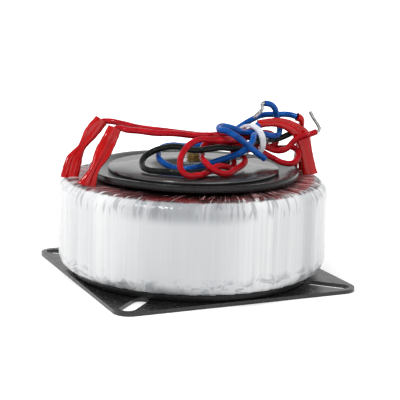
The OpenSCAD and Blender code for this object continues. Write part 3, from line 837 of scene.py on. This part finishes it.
# ---- Pads ----
# Two discs of black sheet rubber with softly rounded edges, above and below the ring. The
# clamp dish presses on the upper one, whose free rim stands up in slow waves.
PAD_HOLE_R = 15.5
PAD_T = 2.0
PAD_EDGE = 0.35
PAD_LIFT = 1.1
DISH_R = 26.7


def turned(bm, profile, steps=128):
    """Solid of revolution round the Z axis of a closed profile of (radius, height), in mm."""
    verts = [bm.verts.new(Vector((r, 0, z)) * MM) for r, z in profile]
    edges = [bm.edges.new(pair) for pair in zip(verts, verts[1:] + verts[:1])]
    bmesh.ops.spin(bm, geom=verts + edges, cent=(0, 0, 0), axis=(0, 0, 1), angle=math.radians(360),
                   steps=steps, use_merge=True, dvec=(0, 0, 0))


def rounded_box(r_in, r_out, z_low, z_high, edge, steps=3):
    """Profile of a ring whose four edges are rounded."""
    points = []
    for r, z, start in ((r_out - edge, z_high - edge, 0), (r_in + edge, z_high - edge, 90),
                        (r_in + edge, z_low + edge, 180), (r_out - edge, z_low + edge, 270)):
        for k in range(steps + 1):
            turn = math.radians(start + 90 * k / steps)
            points.append((r + edge * math.cos(turn), z + edge * math.sin(turn)))
    return points


def lifted(bm, radius, lift):
    """Raises the disc outside the dish, most at its rim and unevenly round it."""
    for vert in bm.verts:
        turn = math.atan2(vert.co.y, vert.co.x)
        out = max(0, (math.hypot(vert.co.x, vert.co.y) / MM - DISH_R) / (radius - DISH_R))
        waves = 0.8 + 0.14 * math.sin(3 * turn) + 0.06 * math.sin(7 * turn + 1)
        vert.co.z += lift * MM * out * out * (3 - 2 * out) * waves


RUBBER = speckled("pad_rubber", linear(28, 28, 29), linear(36, 36, 37), 0.2, 0.0, 0.8, 0.18)
for name, node, radius, low, lift in (("lower_pad_disc", "lower_pad", 38, RING_Z - PAD_T, 0),
                                      ("upper_pad_disc", "upper_pad", 33, RING_TOP, PAD_LIFT)):
    outline = rounded_box(PAD_HOLE_R, radius, low, low + PAD_T, PAD_EDGE)
    profile = []
    for (r, z), (next_r, next_z) in zip(outline, outline[1:] + outline[:1]):
        parts = 1 + int(abs(next_r - r) / 1.5)
        profile += [(r + (next_r - r) * k / parts, z + (next_z - z) * k / parts) for k in range(parts)]
    bm = bmesh.new()
    turned(bm, profile)
    lifted(bm, radius, lift)
    finished(bm, name, RUBBER, "pad_rubber", node)


# ---- Plate and clamp dish ----
# Pressed sheet steel under gloss black paint. The plate keeps the frame's shape with its edges
# broken; the dish is spun with full bends and a rounded rim.
def gloss_black(name, dark, light, ior, smooth, rough):
    nodes = Nodes(name)
    tone = nodes.noise(nodes.place(), 0.12)
    nodes.join(nodes.ramp(tone, (0.3, dark), (0.7, light)), nodes.shader.inputs["Base Color"])
    nodes.join(nodes.grey(nodes.noise(nodes.place(), 0.5), (0.3, smooth), (0.7, rough)),
               nodes.shader.inputs["Roughness"])
    nodes.set(IOR=ior)
    nodes.bump(nodes.noise(nodes.place(), 0.25), 0.03)
    return nodes.material


PLATE_PAINT = gloss_black("plate_steel", linear(18, 18, 19), linear(28, 28, 29), 1.55, 0.22, 0.32)
DISH_PAINT = gloss_black("dish_steel", linear(30, 30, 31), linear(40, 40, 41), 2.0, 0.17, 0.22)
plate = coated("base_plate", PLATE_PAINT)
broken = plate.modifiers.new("broken_edges", "BEVEL")
broken.width = 0.15 * MM
broken.segments = 2
broken.limit_method = "ANGLE"
bm = bmesh.new()
turned(bm, [(2.8, 29.8), (8.2, 29.8), (9.3, 30.1), (13.6, 33.9), (14.8, 34.2), (DISH_R - 0.2, 34.2),
            (DISH_R, 34.0), (DISH_R, 33.4), (DISH_R - 0.2, 33.2), (14.9, 33.2), (14.1, 33.0),
            (9.9, 29.2), (8.7, 28.8), (2.8, 28.8)])
finished(bm, "clamp_dish_pressing", DISH_PAINT, "dish_steel", "clamp_dish", sharp=50)


# ---- Bolt, washers and nut ----
# Hex-headed bolt with a rolled thread, plain washer, split spring washer and a chamfered hex
# nut, all zinc plated; the bolt's plating is passivated yellow.
def plated(name, dark, light):
    nodes = Nodes(name)
    tone = nodes.noise(nodes.place(), 0.8)
    nodes.join(nodes.ramp(tone, (0.3, dark), (0.7, light)), nodes.shader.inputs["Base Color"])
    nodes.join(nodes.grey(nodes.noise(nodes.place(), 2), (0.3, 0.2), (0.7, 0.34)),
               nodes.shader.inputs["Roughness"])
    nodes.set(Metallic=1.0)
    nodes.bump(nodes.noise(nodes.place(), 5), 0.02)
    return nodes.material


ZINC = plated("zinc", linear(176, 178, 180), linear(208, 209, 210))
YELLOW_ZINC = plated("yellow_zinc", linear(150, 128, 84), linear(186, 162, 112))
BOLT_R = 2.5
BOLT_TOP = 38.7
TIP_R = 1.85
THREAD_FROM = 24.4
THREAD_DEPTH = 0.42
PITCH = 0.8
PITCH_STEPS = 8
HEAD_R = 4 / math.cos(math.radians(30))
HEAD_TOP = 3.8
bm = bmesh.new()
hexagon = [Vector((math.cos(math.radians(a)), math.sin(math.radians(a)), 0)) for a in range(0, 360, 60)]
loft(bm, [[(corner * r + Vector((0, 0, z))) * MM for corner in hexagon]
          for r, z in ((HEAD_R - 0.5, 0.3), (HEAD_R, 0.75), (HEAD_R, HEAD_TOP))])
rows = []
for level in range(round((BOLT_TOP - THREAD_FROM) / PITCH * PITCH_STEPS) + 1):
    z = THREAD_FROM + PITCH / PITCH_STEPS * level
    row = []
    for k in range(40):
        turn = k / 40
        tooth = abs(((z / PITCH - turn) % 1) * 2 - 1)
        r = min(BOLT_R - THREAD_DEPTH * tooth, TIP_R + BOLT_TOP - z)
        row.append(Vector((r * math.cos(2 * math.pi * turn), r * math.sin(2 * math.pi * turn), z)) * MM)
    rows.append(row)
loft(bm, [[Vector((p.x, p.y, HEAD_TOP * MM)) for p in rows[0]], *rows])
finished(bm, "centre_bolt_threaded", YELLOW_ZINC, "yellow_zinc", "centre_bolt", sharp=35)
for node in ("plain_washer", "spring_washer", "hex_nut"):
    coated(node, ZINC)
